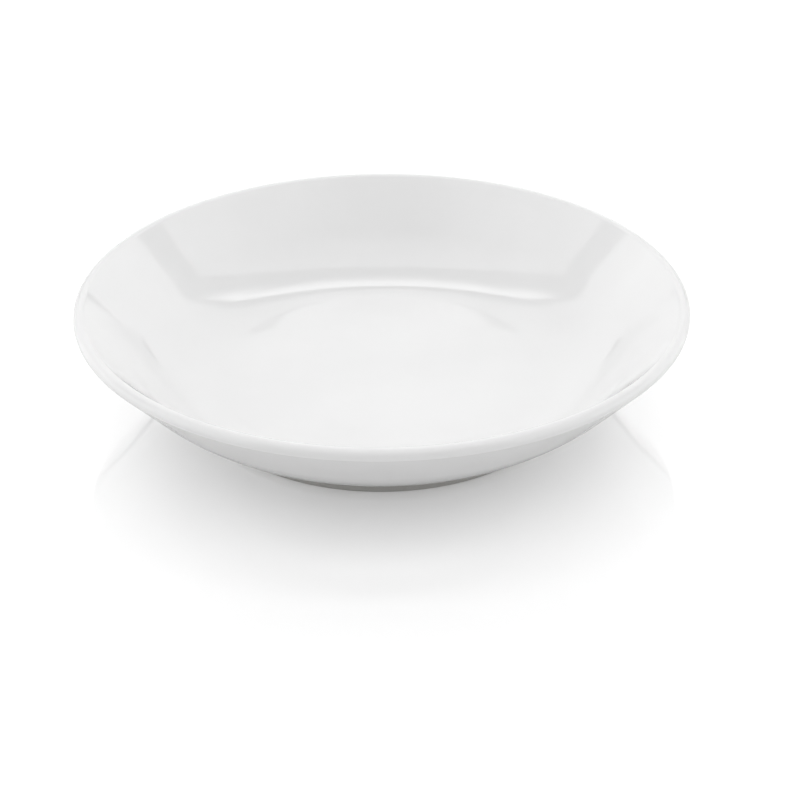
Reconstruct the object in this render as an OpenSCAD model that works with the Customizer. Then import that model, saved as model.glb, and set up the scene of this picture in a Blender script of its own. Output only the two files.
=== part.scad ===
// Coupe soup plate in glazed porcelain. It has a wide flat well, a side wall that steepens on its
// way up to a rounded lip, and a low foot ring that is left bare of glaze.
// The whole plate is one section turned about Z, and the table is the plane z = 0.

/* [Plate] */
// Diameter across the lip
plate_d = 210; // [190:1:240]
// Height from the table to the top of the lip
plate_h = 40.7; // [35:0.1:50]

/* [Side wall] */
// Thickness of the side wall, which the lip rounds off with a half circle
wall_t = 4.5; // [3.6:0.1:5.4]
// Diameter of the belly, where the lower and the upper wall would cross outside
belly_d = 167; // [152:1:176]
// Height of the belly above the table
belly_h = 14.5; // [11:0.5:18]
// Radius of the outer curve that joins the lower and the upper wall
belly_r = 70; // [20:1:80]

/* [Well] */
// Thickness of the base under the well
base_t = 6.2; // [4.6:0.1:7.4]
// Radius of the curve between the well's floor and the side wall
floor_r = 31; // [10:1:36]

/* [Foot ring] */
// Outer diameter of the foot ring
foot_d = 127.5; // [116:0.5:136]
// Width of the foot ring
foot_w = 5.5; // [4:0.1:9]
// Height of the ring's outer side, from the table to the lower wall
foot_h = 3.3; // [2.6:0.1:4]
// Depth of the recess inside the ring
recess_h = 3.4; // [2.8:0.1:4]
// Radius of the ring's two standing edges
foot_edge_r = 1; // [0.6:0.05:1.2]
// Radius of the coves where the ring's sides leave the underside
foot_cove_r = 0.8; // [0.4:0.05:1]

/* [Glaze] */
// Thickness of the glaze
glaze_t = 0.25; // [0.15:0.05:0.35]
// Gap between the ring's coves and the wiped edges of the glaze below them
wipe_gap = 0.3; // [0.2:0.05:0.4]

/* [Hidden] */
$fn = 180;
// Largest gap between an arc and the chords that draw it
chord_gap = 0.003;
// Longest share of an edge that the rounding at one of its ends may take
edge_share = 0.49;

foot_ro = foot_d / 2;
foot_ri = foot_ro - foot_w;
floor_h = recess_h + base_t;
lip_r = wall_t / 2;
lip_c = [plate_d / 2 - lip_r, plate_h - lip_r];

// Directions and angles in the section, which lies in the plane of radius and height
function unit(v) = v / norm(v);
function angle(v) = atan2(v[1], v[0]);
function polar(r, a) = r * [cos(a), sin(a)];
// The solid lies on the left of the direction of travel along the section
function inward(a, b) = unit([a[1] - b[1], b[0] - a[0]]);

// Corner p between a and b, moved so that both of its edges lie at the given depth in the solid
function sunk(a, p, b, depth) =
    let (n = inward(a, p), m = inward(p, b))
    p + depth * (n + m) / (1 + n * m);

// Points of an arc about c
function arc(c, r, start, sweep) =
    let (n = ceil(abs(sweep) / (2 * acos(1 - chord_gap / r))))
    [for (k = [0:n]) c + polar(r, start + sweep * k / n)];

// Arc that rounds corner p between a and b
function rounded(a, p, b, r) =
    let (u = unit(a - p))
    let (v = unit(b - p))
    let (half = acos(u * v) / 2)
    let (cut = min(r / tan(half), edge_share * min(norm(a - p), norm(b - p))))
    let (c = p + unit(u + v) * cut / cos(half))
    arc(c, cut * tan(half), angle(p + cut * u - c), sign(cross(v, u)) * (180 - 2 * half));

// Rounded inner corners of an open run of [point, radius] rows, at a depth below the surface:
// an outer corner's radius shrinks with the depth and an inner corner's grows
function bends(run, depth) =
    let (last = len(run) - 1)
    let (p = [for (row = run) row[0]])
    let (q = [
        for (k = [0:last])
        k == 0 ? p[0] + depth * inward(p[0], p[1])
        : k == last ? p[last] + depth * inward(p[last - 1], p[last])
        : sunk(p[k - 1], p[k], p[k + 1], depth)
    ])
    [
        for (k = [1:last - 1])
        let (turn = sign(cross(p[k] - p[k - 1], p[k + 1] - p[k])))
        each rounded(q[k - 1], q[k], q[k + 1], run[k][1] - turn * depth)
    ];

function reversed(path) = [for (k = [len(path) - 1:-1:0]) path[k]];

// Outer wall: from the top of the foot ring's side to the belly, then along a tangent of the lip
foot_top = [foot_ro, foot_h];
belly_out = [belly_d / 2, belly_h];
lower_slope = angle(belly_out - foot_top);
upper_slope = angle(lip_c - belly_out) - asin(lip_r / norm(lip_c - belly_out));
lip_out = lip_c + polar(lip_r, upper_slope - 90);
lip_in = lip_c + polar(lip_r, upper_slope + 90);

// Inner wall: parallel to the outer one, down to the plane of the well's floor
belly_in = sunk(foot_top, belly_out, lip_out, wall_t);
lower_wall = unit(belly_out - foot_top);
well_edge = belly_in + lower_wall * (floor_h - belly_in[1]) / lower_wall[1];

// The foot ring is bare up to here on its outer and its inner side
bare_out = foot_h - foot_cove_r * tan((90 - lower_slope) / 2) - wipe_gap;
bare_in = recess_h - foot_cove_r - wipe_gap;

outer_run = [
    [[foot_ro, 0], 0],
    [foot_top, foot_cove_r],
    [belly_out, belly_r],
    [lip_out, 0]
];
inner_run = [
    [lip_in, 0],
    [belly_in, belly_r - wall_t],
    [well_edge, floor_r],
    [[0, floor_h], 0]
];
base_run = [
    [[0, recess_h], 0],
    [[foot_ri, recess_h], foot_cove_r],
    [[foot_ri, 0], 0]
];
standing_run = [
    [[foot_ri + glaze_t, recess_h], 0],
    [[foot_ri + glaze_t, 0], foot_edge_r],
    [[foot_ro - glaze_t, 0], foot_edge_r],
    [[foot_ro - glaze_t, foot_h], 0]
];

// Surface of the plate at a depth below the finished one, from the wiped edge on the foot ring's
// outer side, over the lip, to the middle of the well
function plate_path(depth) = concat(
    [[foot_ro - depth, bare_out]],
    bends(outer_run, depth),
    arc(lip_c, lip_r - depth, upper_slope - 90, 180),
    bends(inner_run, depth),
    [[0, floor_h - depth]]
);

// Surface of the underside at the same depth, from its middle to the wiped edge on the foot ring's
// inner side
function base_path(depth) = concat(
    [[0, recess_h + depth]],
    bends(base_run, depth),
    [[foot_ri + depth, bare_in]]
);

// Fired porcelain under the glaze, with the bare standing edge of the foot ring
module porcelain_body() {
    color("linen")
    rotate_extrude()
    polygon(concat(base_path(glaze_t), bends(standing_run, 0), plate_path(glaze_t)));
}

// Glaze on the outside, the lip and the inside, in one unbroken coat
module plate_glaze() {
    color("white")
    rotate_extrude()
    polygon(concat(plate_path(0), reversed(plate_path(glaze_t))));
}

// Glaze on the recess inside the foot ring
module base_glaze() {
    color("whitesmoke")
    rotate_extrude()
    polygon(concat(base_path(0), reversed(base_path(glaze_t))));
}

porcelain_body();
plate_glaze();
base_glaze();
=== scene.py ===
# Looks of the coupe soup plate: three fired pieces, each one section turned about Z by the same
# geometry tree, on a white table in a light tent.
import cmath
import math

import bpy
from mathutils import Matrix


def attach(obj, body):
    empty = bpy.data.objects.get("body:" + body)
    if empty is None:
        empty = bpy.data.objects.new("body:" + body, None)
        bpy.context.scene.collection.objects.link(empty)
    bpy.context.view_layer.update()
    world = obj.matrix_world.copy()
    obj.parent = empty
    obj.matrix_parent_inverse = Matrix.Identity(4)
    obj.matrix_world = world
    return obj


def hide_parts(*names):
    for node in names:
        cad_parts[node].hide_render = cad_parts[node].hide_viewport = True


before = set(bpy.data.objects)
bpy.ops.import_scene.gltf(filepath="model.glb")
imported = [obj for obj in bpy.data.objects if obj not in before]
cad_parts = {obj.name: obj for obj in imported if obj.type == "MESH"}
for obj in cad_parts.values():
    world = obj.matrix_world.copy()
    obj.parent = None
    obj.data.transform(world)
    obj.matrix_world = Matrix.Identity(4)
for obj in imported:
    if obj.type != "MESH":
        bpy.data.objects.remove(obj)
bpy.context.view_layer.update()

MM = 0.001

# Section of the plate in millimetres, the same sizes as in the part's source
PLATE_D = 210.0
PLATE_H = 40.7
WALL_T = 4.5
BELLY_D = 167.0
BELLY_H = 14.5
BELLY_R = 70.0
BASE_T = 6.2
FLOOR_R = 31.0
FOOT_D = 127.5
FOOT_W = 5.5
FOOT_H = 3.3
RECESS_H = 3.4
FOOT_EDGE_R = 1.0
FOOT_COVE_R = 0.8
GLAZE_T = 0.25
WIPE_GAP = 0.3

# How finely the section is drawn: gap between arc and chord, and longest step on a straight
SEEN_GAP = 0.0005
SEEN_STEP = 2.5
HIDDEN_GAP = 0.006
HIDDEN_STEP = 12.0
EDGE_SHARE = 0.49

# Turning, and the small faults of firing and wiping, in millimetres
AROUND = 256
KILN_SAG = 0.25
OUT_OF_ROUND = 0.2
WIPE_WAVER = 0.3
FIRING_SEED = 7.3
# How these faults change around the plate: scale, detail and offset from the seed of their noise
SAG_NOISE = (0.9, 0, 0)
DRAW_NOISE = (0.9, 0, 5)
WAVER_NOISE = (9, 2, 11)
# Distance under which points of a mesh are welded, in metres
WELD = 1e-6

WHITE_GLAZE = (0.86, 0.86, 0.86)
# Bare porcelain, painted dark grey: partly grey from use, mostly painted shade of the dark gap
# where the foot ring meets the table
BARE_PORCELAIN_WITH_PAINTED_SHADE = (0.52, 0.51, 0.49)

# Sockets of the Mix node for colours
MIX_FACTOR, MIX_LOW, MIX_HIGH = 0, 6, 7
MIX_COLOUR = 2


# --- Section: points are complex numbers, radius + height * 1j, with the solid on the left ---

def unit(v):
    return v / abs(v)


def dot(u, v):
    return (u * v.conjugate()).real


def cross(u, v):
    return (u.conjugate() * v).imag


def inward(a, b):
    return unit(b - a) * 1j


def sunk(a, p, b, depth):
    """Corner p between a and b, moved so that both of its edges lie at a depth in the solid."""
    n, m = inward(a, p), inward(p, b)
    return p + depth * (n + m) / (1 + dot(n, m))


def arc(centre, radius, start, sweep, gap):
    steps = max(2, math.ceil(abs(sweep) / (2 * math.acos(1 - min(gap / radius, 1)))))
    return [centre + cmath.rect(radius, start + sweep * k / steps) for k in range(steps + 1)]


def rounded(a, p, b, radius, gap):
    """Arc that rounds corner p between a and b."""
    u, v = unit(a - p), unit(b - p)
    half = math.acos(dot(u, v)) / 2
    cut = min(radius / math.tan(half), EDGE_SHARE * min(abs(a - p), abs(b - p)))
    centre = p + unit(u + v) * cut / math.cos(half)
    turn = math.copysign(math.pi - 2 * half, cross(v, u))
    return arc(centre, cut * math.tan(half), cmath.phase(p + cut * u - centre), turn, gap)


def bends(run, depth, gap):
    """Rounded inner corners of an open run of (point, radius) rows, at a depth in the solid."""
    p = [point for point, _ in run]
    last = len(p) - 1
    q = [p[0] + depth * inward(p[0], p[1])]
    q += [sunk(p[k - 1], p[k], p[k + 1], depth) for k in range(1, last)]
    q += [p[last] + depth * inward(p[last - 1], p[last])]
    points = []
    for k in range(1, last):
        turn = math.copysign(1, cross(p[k] - p[k - 1], p[k + 1] - p[k]))
        points += rounded(q[k - 1], q[k], q[k + 1], run[k][1] - turn * depth, gap)
    return points


def stepped(path, step):
    """The same path with its long straights cut into steps."""
    points = [path[0]]
    for a, b in zip(path, path[1:]):
        count = max(1, math.ceil(abs(b - a) / step))
        points += [a + (b - a) * k / count for k in range(1, count + 1)]
    return points


foot_ro = FOOT_D / 2
foot_ri = foot_ro - FOOT_W
floor_h = RECESS_H + BASE_T

lip_r = WALL_T / 2
lip_c = complex(PLATE_D / 2 - lip_r, PLATE_H - lip_r)
foot_top = complex(foot_ro, FOOT_H)
belly_out = complex(BELLY_D / 2, BELLY_H)
to_lip = lip_c - belly_out
upper_slope = cmath.phase(to_lip) - math.asin(lip_r / abs(to_lip))
lip_out = lip_c + cmath.rect(lip_r, upper_slope - math.pi / 2)
lip_in = lip_c + cmath.rect(lip_r, upper_slope + math.pi / 2)
belly_in = sunk(foot_top, belly_out, lip_out, WALL_T)
lower_wall = unit(belly_out - foot_top)
cove_rise = FOOT_COVE_R * math.tan(math.pi / 4 - cmath.phase(lower_wall) / 2)
plate_edge_h = FOOT_H - cove_rise - WIPE_GAP
base_edge_h = RECESS_H - FOOT_COVE_R - WIPE_GAP
well_edge = belly_in + lower_wall * (floor_h - belly_in.imag) / lower_wall.imag

outer_run = [
    (complex(foot_ro, 0), 0),
    (foot_top, FOOT_COVE_R),
    (belly_out, BELLY_R),
    (lip_out, 0),
]
inner_run = [
    (lip_in, 0),
    (belly_in, BELLY_R - WALL_T),
    (well_edge, FLOOR_R),
    (complex(0, floor_h), 0),
]
base_run = [
    (complex(0, RECESS_H), 0),
    (complex(foot_ri, RECESS_H), FOOT_COVE_R),
    (complex(foot_ri, 0), 0),
]
standing_run = [
    (complex(foot_ri + GLAZE_T, RECESS_H), 0),
    (complex(foot_ri + GLAZE_T, 0), FOOT_EDGE_R),
    (complex(foot_ro - GLAZE_T, 0), FOOT_EDGE_R),
    (complex(foot_ro - GLAZE_T, FOOT_H), 0),
]


def plate_path(depth, gap, step):
    """From the wiped edge on the foot's outer side, over the lip, to the middle of the well."""
    path = [complex(foot_ro - depth, plate_edge_h + GLAZE_T / 2)]
    path += bends(outer_run, depth, gap)
    path += arc(lip_c, lip_r - depth, upper_slope - math.pi / 2, math.pi, gap)
    path += bends(inner_run, depth, gap)
    path += [complex(0, floor_h - depth)]
    return stepped(path, step)


def base_path(depth, gap, step):
    """From the middle of the recess to the wiped edge on the foot's inner side."""
    path = [complex(0, RECESS_H + depth)]
    path += bends(base_run, depth, gap)
    path += [complex(foot_ri + depth, base_edge_h + GLAZE_T / 2)]
    return stepped(path, step)


def wiped_bead(radius, height):
    """Rolled end of a coat of glaze, from its left side round the bottom to its right side."""
    centre = complex(radius, height + GLAZE_T / 2)
    return arc(centre, GLAZE_T / 2, math.pi, math.pi, SEEN_GAP)[1:-1]


def plate_glaze_section():
    back = plate_path(GLAZE_T, HIDDEN_GAP, HIDDEN_STEP)[::-1]
    bead = wiped_bead(foot_ro - GLAZE_T / 2, plate_edge_h)
    return plate_path(0, SEEN_GAP, SEEN_STEP) + back + bead


def base_glaze_section():
    bead = wiped_bead(foot_ri + GLAZE_T / 2, base_edge_h)
    back = base_path(GLAZE_T, HIDDEN_GAP, HIDDEN_STEP)[::-1]
    return base_path(0, SEEN_GAP, SEEN_STEP) + bead + back


def porcelain_body_section():
    standing = stepped(bends(standing_run, 0, SEEN_GAP), SEEN_STEP)
    return (
        base_path(GLAZE_T, HIDDEN_GAP, SEEN_STEP)
        + standing
        + plate_path(GLAZE_T, HIDDEN_GAP, SEEN_STEP)
    )


# --- Geometry tree: turns a section about Z, with the sag and waver of a fired plate ---

def node(tree, kind, inputs=(), **settings):
    """A new node. Inputs are (socket, value) pairs, where a value may be another node's output."""
    made = tree.nodes.new(kind)
    for name, value in settings.items():
        setattr(made, name, value)
    for socket, value in inputs:
        if isinstance(value, bpy.types.NodeSocket):
            tree.links.new(value, made.inputs[socket])
        else:
            made.inputs[socket].default_value = value
    return made


def maths(tree, operation, *values):
    return node(tree, "ShaderNodeMath", enumerate(values), operation=operation).outputs[0]


def faded(tree, value, low, high):
    """Smooth step of a value, from 0 at low to 1 at high."""
    pairs = [("Value", value), ("From Min", low), ("From Max", high)]
    return node(
        tree, "ShaderNodeMapRange", pairs, interpolation_type="SMOOTHSTEP"
    ).outputs["Result"]


def between(tree, share, low, high):
    """Level that goes from low to high with a share."""
    pairs = [("Value", share), ("To Min", low), ("To Max", high)]
    return node(tree, "ShaderNodeMapRange", pairs).outputs["Result"]


TURNED_INPUTS = (
    ("Around", "NodeSocketInt"),
    ("Foot Radius", "NodeSocketFloat"),
    ("Lip Radius", "NodeSocketFloat"),
    ("Sag", "NodeSocketFloat"),
    ("Out of Round", "NodeSocketFloat"),
    ("Wiped Edge", "NodeSocketFloat"),
    ("Waver Top", "NodeSocketFloat"),
    ("Waver", "NodeSocketFloat"),
    ("Seed", "NodeSocketFloat"),
    ("Finish", "NodeSocketMaterial"),
)


def turned_tree():
    tree = bpy.data.node_groups.new("turned_piece", "GeometryNodeTree")
    tree.interface.new_socket("Section", in_out="INPUT", socket_type="NodeSocketGeometry")
    for name, kind in TURNED_INPUTS:
        tree.interface.new_socket(name, in_out="INPUT", socket_type=kind)
    tree.interface.new_socket("Piece", in_out="OUTPUT", socket_type="NodeSocketGeometry")
    given = node(tree, "NodeGroupInput").outputs
    section = given["Section"]

    # One row of the grid for each point of the section, one column for each step around
    count = node(tree, "GeometryNodeAttributeDomainSize", [("Geometry", section)])
    columns = maths(tree, "ADD", given["Around"], 1)
    grid = node(
        tree,
        "GeometryNodeMeshGrid",
        [("Vertices X", count.outputs["Point Count"]), ("Vertices Y", columns)],
    )
    index = node(tree, "GeometryNodeInputIndex").outputs[0]
    # Half a step keeps the division clear of whole numbers
    row = maths(tree, "FLOOR", maths(tree, "DIVIDE", maths(tree, "ADD", index, 0.5), columns))
    column = maths(tree, "SUBTRACT", index, maths(tree, "MULTIPLY", row, columns))
    share = maths(tree, "DIVIDE", column, given["Around"])
    turn = maths(tree, "MULTIPLY", share, -2 * math.pi)
    place = node(tree, "GeometryNodeInputPosition").outputs[0]
    drawn = node(
        tree,
        "GeometryNodeSampleIndex",
        [("Geometry", section), ("Value", place), ("Index", row)],
        data_type="FLOAT_VECTOR",
    )
    point = node(tree, "ShaderNodeSeparateXYZ", [("Vector", drawn.outputs["Value"])]).outputs
    radius, height = point["X"], point["Z"]

    # Slow noise on the circle, so that the faults close on themselves
    east, north = maths(tree, "COSINE", turn), maths(tree, "SINE", turn)
    circle = node(tree, "ShaderNodeCombineXYZ", [("X", east), ("Y", north)]).outputs[0]

    def fault(scale, detail, offset):
        return node(
            tree,
            "ShaderNodeTexNoise",
            [
                ("Vector", circle),
                ("W", maths(tree, "ADD", given["Seed"], offset)),
                ("Scale", scale),
                ("Detail", detail),
            ],
            noise_dimensions="4D",
        ).outputs[0]

    # The lip sags and draws in a little in the kiln, and all inside the foot stays flat
    lift = faded(tree, radius, given["Foot Radius"], given["Lip Radius"])
    sag = maths(tree, "MULTIPLY", maths(tree, "MULTIPLY", given["Sag"], lift), fault(*SAG_NOISE))
    draw = maths(
        tree, "MULTIPLY", maths(tree, "MULTIPLY", given["Out of Round"], lift), fault(*DRAW_NOISE)
    )
    # The sponge leaves a wavering edge where it wipes the foot
    free = maths(tree, "SUBTRACT", given["Waver Top"], given["Wiped Edge"])
    low = maths(tree, "DIVIDE", maths(tree, "SUBTRACT", given["Waver Top"], height), free)
    low = node(tree, "ShaderNodeClamp", [("Value", low)]).outputs[0]
    to_and_fro = maths(tree, "SUBTRACT", fault(*WAVER_NOISE), 0.5)
    waver = maths(tree, "MULTIPLY", given["Waver"], to_and_fro)
    fired_radius = maths(tree, "SUBTRACT", radius, draw)
    fired_height = maths(
        tree, "ADD", maths(tree, "SUBTRACT", height, sag), maths(tree, "MULTIPLY", waver, low)
    )

    turned = node(
        tree,
        "ShaderNodeCombineXYZ",
        [
            ("X", maths(tree, "MULTIPLY", fired_radius, east)),
            ("Y", maths(tree, "MULTIPLY", fired_radius, north)),
            ("Z", fired_height),
        ],
    ).outputs[0]
    shaped = node(
        tree, "GeometryNodeSetPosition", [("Geometry", grid.outputs["Mesh"]), ("Position", turned)]
    )

    # The seam and the poles are welded, and the bare line that they leave on the axis goes
    welded = node(
        tree, "GeometryNodeMergeByDistance", [("Geometry", shaped.outputs[0]), ("Distance", WELD)]
    )
    faces = node(tree, "GeometryNodeInputMeshEdgeNeighbors").outputs[0]
    clean = node(
        tree,
        "GeometryNodeDeleteGeometry",
        [("Geometry", welded.outputs[0]), ("Selection", maths(tree, "LESS_THAN", faces, 1))],
        domain="EDGE",
    )
    smooth = node(tree, "GeometryNodeSetShadeSmooth", [("Geometry", clean.outputs[0])])
    real = node(tree, "GeometryNodeRealizeInstances", [("Geometry", smooth.outputs[0])])
    dressed = node(
        tree,
        "GeometryNodeSetMaterial",
        [("Geometry", real.outputs[0]), ("Material", given["Finish"])],
    )
    node(tree, "NodeGroupOutput", [("Piece", dressed.outputs[0])])
    return tree


def turned_piece(name, section, tree, finish, wiped_edge, waver):
    """A piece turned from its section, as a plain mesh at the origin."""
    closed = section + section[:1]
    flat = bpy.data.meshes.new(name)
    flat.from_pydata([(p.real * MM, 0, p.imag * MM) for p in closed], [], [])
    piece = bpy.data.objects.new(name, flat)
    bpy.context.collection.objects.link(piece)
    values = {
        "Around": AROUND,
        "Foot Radius": foot_ro * MM,
        "Lip Radius": PLATE_D / 2 * MM,
        "Sag": KILN_SAG * MM,
        "Out of Round": OUT_OF_ROUND * MM,
        "Wiped Edge": wiped_edge * MM,
        "Waver Top": (wiped_edge + WIPE_GAP) * MM,
        "Waver": waver * MM,
        "Seed": FIRING_SEED,
        "Finish": finish,
    }
    turning = piece.modifiers.new("turning", "NODES")
    turning.node_group = tree
    for socket in tree.interface.items_tree:
        if socket.in_out == "INPUT" and socket.name in values:
            turning[socket.identifier] = values[socket.name]
    graph = bpy.context.evaluated_depsgraph_get()
    solid = bpy.data.meshes.new_from_object(piece.evaluated_get(graph))
    piece.modifiers.remove(turning)
    piece.data = solid
    solid.name = name
    bpy.data.meshes.remove(flat)
    return piece


# --- Finishes ---

# Glaze. Scales of noise are per metre, a tint is a share of the finish's colour, and a bump has a
# strength and a height in metres
CLOUD_SCALE = 22
CLOUD_RANGE = (0.3, 0.7)
CLOUD_TINTS = (0.985, 1.012)
# Height below the top of the lip, in millimetres, over which the glaze runs thin
THIN_BAND = 1.6
THIN_TINT = 0.985
# Pinholes: cells per metre, share of the cells that have one, and fade from its edge to its bottom
PINHOLE_SCALE = 60
WELL_PINHOLES = 0.05
UNDERSIDE_PINHOLES = 0.2
PINHOLE_FADE = (0.012, 0.004)
PINHOLE_TINT = 0.72
PEEL_SCALE = 150
SPECK_SCALE = 900
SPECK_SHARE = 0.06
GLAZE_BUMP = (0.35, 2e-5)
GLOSS_SCALE = 35
GLAZE_ROUGHNESS = (0.02, 0.045)
GLAZE_IOR = 1.52
# Bare porcelain
GRAIN_SCALE = 2600
GRAIN_TINTS = (0.9, 1.08)
RUB_SCALE = 160
RUB_RANGE = (0.52, 0.72)
RUB_SHARE = 0.35
RUB_COLOUR = (0.5, 0.49, 0.47)
RING_SCALE = 420
RING_DISTORTION = 1.5
RING_SHARE = 0.4
BARE_BUMP = (0.5, 6e-5)
BARE_ROUGHNESS = (0.62, 0.85)


def finish_tree(name):
    """A new material with its shader and its Object coordinates."""
    made = bpy.data.materials.new(name)
    made.use_nodes = True
    tree = made.node_tree
    shader = tree.nodes["Principled BSDF"]
    place = node(tree, "ShaderNodeTexCoord").outputs["Object"]
    return made, tree, shader, place


def noise(tree, place, scale, detail):
    pairs = [("Vector", place), ("Scale", scale), ("Detail", detail)]
    return node(tree, "ShaderNodeTexNoise", pairs).outputs[0]


def blended(tree, factor, low, high):
    """Colour that goes from low to high with a factor. Low and high are colours or outputs."""
    mix = node(tree, "ShaderNodeMix", data_type="RGBA")
    tree.links.new(factor, mix.inputs[MIX_FACTOR])
    for socket, value in ((MIX_LOW, low), (MIX_HIGH, high)):
        if isinstance(value, bpy.types.NodeSocket):
            tree.links.new(value, mix.inputs[socket])
        else:
            mix.inputs[socket].default_value = (*value, 1)
    return mix.outputs[MIX_COLOUR]


def shade(colour, by):
    return tuple(channel * by for channel in colour)


def tinted(tree, factor, colour, tints):
    """Colour that goes from one tint of it to another with a factor."""
    low, high = tints
    return blended(tree, factor, shade(colour, low), shade(colour, high))


def dress(tree, shader, colour, roughness, surface, bump):
    """Gives a shader its colour and roughness, and the relief of a surface."""
    strength, distance = bump
    pairs = [("Strength", strength), ("Distance", distance), ("Height", surface)]
    normal = node(tree, "ShaderNodeBump", pairs).outputs[0]
    for name, value in (("Base Color", colour), ("Roughness", roughness), ("Normal", normal)):
        tree.links.new(value, shader.inputs[name])


def glaze_finish(name, pinhole_share):
    """White gloss glaze: faint clouds, thin over the lip, orange peel and a few pinholes."""
    made, tree, shader, place = finish_tree(name)

    clouds = faded(tree, noise(tree, place, CLOUD_SCALE, 3), *CLOUD_RANGE)
    colour = tinted(tree, clouds, WHITE_GLAZE, CLOUD_TINTS)
    height = node(tree, "ShaderNodeSeparateXYZ", [("Vector", place)]).outputs["Z"]
    thin = faded(tree, height, (PLATE_H - THIN_BAND) * MM, PLATE_H * MM)
    colour = blended(tree, thin, colour, shade(WHITE_GLAZE, THIN_TINT))

    cells = node(tree, "ShaderNodeTexVoronoi", [("Vector", place), ("Scale", PINHOLE_SCALE)])
    picked = node(tree, "ShaderNodeSeparateColor", [("Color", cells.outputs["Color"])])
    picked = maths(tree, "LESS_THAN", picked.outputs[0], pinhole_share)
    near = faded(tree, cells.outputs["Distance"], *PINHOLE_FADE)
    pinholes = maths(tree, "MULTIPLY", near, picked)
    colour = blended(tree, pinholes, colour, shade(WHITE_GLAZE, PINHOLE_TINT))

    peel = noise(tree, place, PEEL_SCALE, 1)
    specks = maths(tree, "MULTIPLY", noise(tree, place, SPECK_SCALE, 1), SPECK_SHARE)
    surface = maths(tree, "SUBTRACT", maths(tree, "ADD", peel, specks), pinholes)
    gloss = between(tree, noise(tree, place, GLOSS_SCALE, 2), *GLAZE_ROUGHNESS)
    dress(tree, shader, colour, gloss, surface, GLAZE_BUMP)
    shader.inputs["IOR"].default_value = GLAZE_IOR
    return made


def bare_finish(name):
    """Unglazed porcelain, ground flat on a wheel: fine grain, ring marks and grey rub. Its base
    colour is partly grey from use and mostly painted shade of the dark gap where the foot ring
    meets the table.
    """
    made, tree, shader, place = finish_tree(name)

    grain = noise(tree, place, GRAIN_SCALE, 3)
    # The base colour carries painted shade under the foot ring as well as the grain
    colour = tinted(tree, grain, BARE_PORCELAIN_WITH_PAINTED_SHADE, GRAIN_TINTS)
    rub = faded(tree, noise(tree, place, RUB_SCALE, 4), *RUB_RANGE)
    colour = blended(tree, maths(tree, "MULTIPLY", rub, RUB_SHARE), colour, RUB_COLOUR)

    rings = node(
        tree,
        "ShaderNodeTexWave",
        [
            ("Vector", place),
            ("Scale", RING_SCALE),
            ("Distortion", RING_DISTORTION),
            ("Detail", 2),
        ],
        wave_type="RINGS",
        rings_direction="Z",
    ).outputs["Fac"]
    surface = maths(tree, "ADD", maths(tree, "MULTIPLY", rings, RING_SHARE), grain)
    matt = between(tree, grain, *BARE_ROUGHNESS)
    dress(tree, shader, colour, matt, surface, BARE_BUMP)
    return made


# --- The plate ---

turned = turned_tree()
well_glaze = glaze_finish("white_glaze", WELL_PINHOLES)
underside_glaze = glaze_finish("white_glaze_underside", UNDERSIDE_PINHOLES)
bare_porcelain = bare_finish("bare_porcelain")

PIECES = (
    # node, section, finish, slot, wiped edge, waver
    ("porcelain_body", porcelain_body_section(), bare_porcelain, "bare_porcelain", 0, 0),
    ("plate_glaze", plate_glaze_section(), well_glaze, "white_glaze", plate_edge_h, WIPE_WAVER),
    ("base_glaze", base_glaze_section(), underside_glaze, "white_glaze", base_edge_h, WIPE_WAVER),
)
for cad_node, section, finish, slot, edge, waver in PIECES:
    piece = turned_piece("fired_" + cad_node, section, turned, finish, edge, waver)
    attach(piece, "root")
    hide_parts(cad_node)


# --- White table ---

TABLE_HALF = 3.0
TABLE_COLOUR = (0.9, 0.9, 0.9)
TABLE_CLOUD_SCALE = 3
TABLE_TINTS = (0.99, 1.01)
TABLE_ROUGHNESS = 0.05
TABLE_IOR = 3.1
# Light from within the table that the camera sees on top of what the table reflects
TABLE_GLOW = 0.195


def table_finish():
    """White glass with a coat that mirrors what stands on it, and that looks lit from within."""
    made, tree, shader, place = finish_tree("white_table")
    clouds = noise(tree, place, TABLE_CLOUD_SCALE, 2)
    colour = tinted(tree, clouds, TABLE_COLOUR, TABLE_TINTS)
    tree.links.new(colour, shader.inputs["Base Color"])
    shader.inputs["Roughness"].default_value = TABLE_ROUGHNESS
    shader.inputs["IOR"].default_value = TABLE_IOR
    seen = node(tree, "ShaderNodeLightPath").outputs["Is Camera Ray"]
    glow = node(
        tree, "ShaderNodeEmission", [("Strength", maths(tree, "MULTIPLY", seen, TABLE_GLOW))]
    )
    lit = node(tree, "ShaderNodeAddShader", [(0, shader.outputs[0]), (1, glow.outputs[0])])
    tree.links.new(lit.outputs[0], tree.nodes["Material Output"].inputs["Surface"])
    return made


top = bpy.data.meshes.new("table")
corners = [(x * TABLE_HALF, y * TABLE_HALF, 0) for x, y in ((-1, -1), (1, -1), (1, 1), (-1, 1))]
top.from_pydata(corners, [], [(0, 1, 2, 3)])
top.materials.append(table_finish())
table = bpy.data.objects.new("table", top)
bpy.context.collection.objects.link(table)


# --- Light tent: cloth walls, and overhead a lamp panel and a lamp strip in a dark frame ---

# Radiance of its parts
BACK_LOW = 0.94
BACK_HIGH = 1.09
SIDE_LOW = 1.6
SIDE_HIGH = 1.46
FRONT_LOW = 0.1
FRONT_HIGH = 0.55
FLAG = 0.02
FRAME = 0.15
PANEL_FRONT = 0.8
PANEL_MIDDLE = 1.42
PANEL_SIDES = 1.25
STRIP = 3.1
# White that the camera sees in place of the tent
BACKDROP = 1.0
# Heights, as the Z of a direction, between which the walls go from their low to their high level
WALL_GRADE = (0.12, 0.4)
# Where the walls meet: the front and the back by Y, and the sides with both by |X| - |Y|
FRONT_TO_BACK = (-0.2, 0.2)
ENDS_TO_SIDES = (-0.15, 0.15)
# Share by which the left wall is brighter than the middle, and the right wall darker
LEFT_SHARE = 0.04
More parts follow.
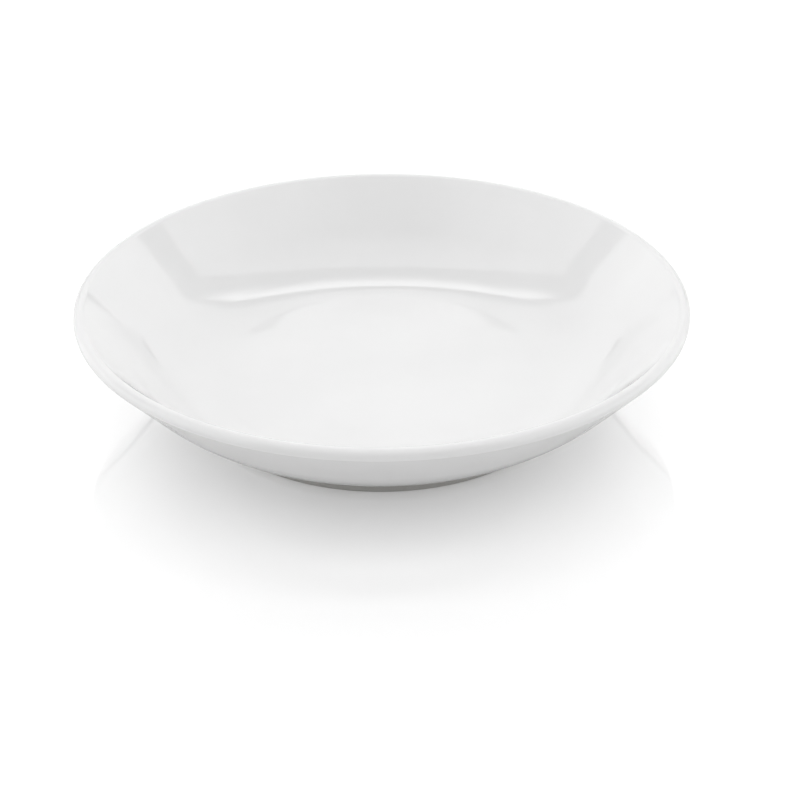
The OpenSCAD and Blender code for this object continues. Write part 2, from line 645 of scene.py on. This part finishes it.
# Dark flags low on the back wall, left and right: fades from the table and to the cloth by Z, and
# from the middle and to the sides by |X|
FLAG_RISE = (0.1, 0.14)
FLAG_TOP = (0.245, 0.21)
FLAG_START = (0.1, 0.4)
FLAG_END = (0.5, 0.465)
# Where the panel's middle gives way to its sides, across, and to its front, along
PANEL_TO_SIDES = (0.3, 1.1)
PANEL_TO_FRONT = (-0.25, -0.6)
# Edges on a ceiling one unit up: across is |X| / Z, and along is Y / Z, away from the camera.
# A bowed edge (c, b, a) lies along at c + b * across + a * across ** 2
CEILING_SIDE = 1.55
CEILING_FRONT = -0.95
CEILING_END = 0.84
CEILING_BACK = (0.88, -0.7, 0.62)
CEILING_SOFT = 0.06
PANEL_SIDE = 1.32
PANEL_END = 0.44
PANEL_BACK = (0.05, 0.0, 0.28)
STRIP_SIDES = (1.0, 0.5)
STRIP_START = (0.2, 0.0, 0.42)
STRIP_PEAK = (0.54, -0.45, 0.7)
STRIP_END = (0.66, -0.58, 0.7)
SOFT = 0.03
# Least Z with which directions are put on the ceiling
HORIZON = 0.001


def light_tent():
    world = bpy.data.worlds.new("light_tent")
    world.use_nodes = True
    tree = world.node_tree
    tree.nodes.clear()
    way = node(tree, "ShaderNodeTexCoord").outputs["Generated"]
    way = node(tree, "ShaderNodeSeparateXYZ", [("Vector", way)]).outputs
    up = maths(tree, "MAXIMUM", way["Z"], HORIZON)
    sideways = maths(tree, "ABSOLUTE", way["X"])
    across = maths(tree, "DIVIDE", sideways, up)
    along = maths(tree, "DIVIDE", way["Y"], up)

    def times(*factors):
        product = factors[0]
        for factor in factors[1:]:
            product = maths(tree, "MULTIPLY", product, factor)
        return product

    def below(value, edge, soft=SOFT):
        """1 where a value lies below an edge, and 0 above it."""
        return faded(tree, maths(tree, "SUBTRACT", value, edge), soft, -soft)

    def bowed(edge):
        """Place along of a bowed edge."""
        base, slope, bow = edge
        bend = maths(tree, "MULTIPLY_ADD", across, bow, slope)
        return maths(tree, "MULTIPLY_ADD", across, bend, base)

    # Cloth walls, graded from the table up
    high = faded(tree, way["Z"], *WALL_GRADE)
    back = faded(tree, way["Y"], *FRONT_TO_BACK)
    lengthways = maths(tree, "ABSOLUTE", way["Y"])
    side = faded(tree, maths(tree, "SUBTRACT", sideways, lengthways), *ENDS_TO_SIDES)
    front_wall = between(tree, high, FRONT_LOW, FRONT_HIGH)
    back_wall = between(tree, high, BACK_LOW, BACK_HIGH)
    ends = between(tree, back, front_wall, back_wall)
    flags = times(
        faded(tree, way["Z"], *FLAG_RISE),
        faded(tree, way["Z"], *FLAG_TOP),
        faded(tree, sideways, *FLAG_START),
        faded(tree, sideways, *FLAG_END),
        back,
    )
    ends = between(tree, flags, ends, FLAG)
    walls = between(tree, side, ends, between(tree, high, SIDE_LOW, SIDE_HIGH))
    walls = times(walls, maths(tree, "MULTIPLY_ADD", way["X"], -LEFT_SHARE, 1))

    # Lamp panel, and a lamp strip that brightens away from the camera
    panel_edge = maths(tree, "MINIMUM", bowed(PANEL_BACK), PANEL_END)
    panel = times(below(across, PANEL_SIDE), below(along, panel_edge))
    panel_light = between(tree, faded(tree, across, *PANEL_TO_SIDES), PANEL_MIDDLE, PANEL_SIDES)
    panel_light = between(tree, faded(tree, along, *PANEL_TO_FRONT), panel_light, PANEL_FRONT)
    strip = times(
        faded(tree, across, *STRIP_SIDES),
        faded(tree, along, bowed(STRIP_START), bowed(STRIP_PEAK)),
        below(along, bowed(STRIP_END)),
    )
    lamps = between(tree, strip, between(tree, panel, FRAME, panel_light), STRIP)
    ceiling_edge = maths(tree, "MINIMUM", bowed(CEILING_BACK), CEILING_END)
    ceiling = times(
        below(across, CEILING_SIDE, CEILING_SOFT),
        below(CEILING_FRONT, along, CEILING_SOFT),
        below(along, ceiling_edge, CEILING_SOFT),
    )
    light = between(tree, ceiling, walls, lamps)

    tent = node(tree, "ShaderNodeBackground", [("Color", (1, 1, 1, 1)), ("Strength", light)])
    white = node(tree, "ShaderNodeBackground", [("Color", (1, 1, 1, 1)), ("Strength", BACKDROP)])
    seen = node(tree, "ShaderNodeLightPath").outputs["Is Camera Ray"]
    mix = node(
        tree, "ShaderNodeMixShader", [(0, seen), (1, tent.outputs[0]), (2, white.outputs[0])]
    )
    node(tree, "ShaderNodeOutputWorld", [("Surface", mix.outputs[0])])
    return world


bpy.context.scene.world = light_tent()
bpy.context.scene.view_settings.view_transform = "Standard"


# --- Camera, at the photograph's place ---

# Place in metres, and how far it looks down and is rolled, in degrees
CAMERA_AT = (0.00604, -0.61287, 0.34881)
CAMERA_DOWN = 29.755
CAMERA_ROLL = -0.231
# Sensor in millimetres, and focal length in picture widths
SENSOR_WIDTH = 36
FOCAL_WIDTHS = 2.5
lens = bpy.data.cameras.new("camera")
lens.sensor_width = SENSOR_WIDTH
lens.lens = SENSOR_WIDTH * FOCAL_WIDTHS
camera = bpy.data.objects.new("camera", lens)
camera.matrix_world = (
    Matrix.Translation(CAMERA_AT)
    @ Matrix.Rotation(math.radians(90 - CAMERA_DOWN), 4, "X")
    @ Matrix.Rotation(math.radians(CAMERA_ROLL), 4, "Z")
)
bpy.context.collection.objects.link(camera)
bpy.context.scene.camera = camera
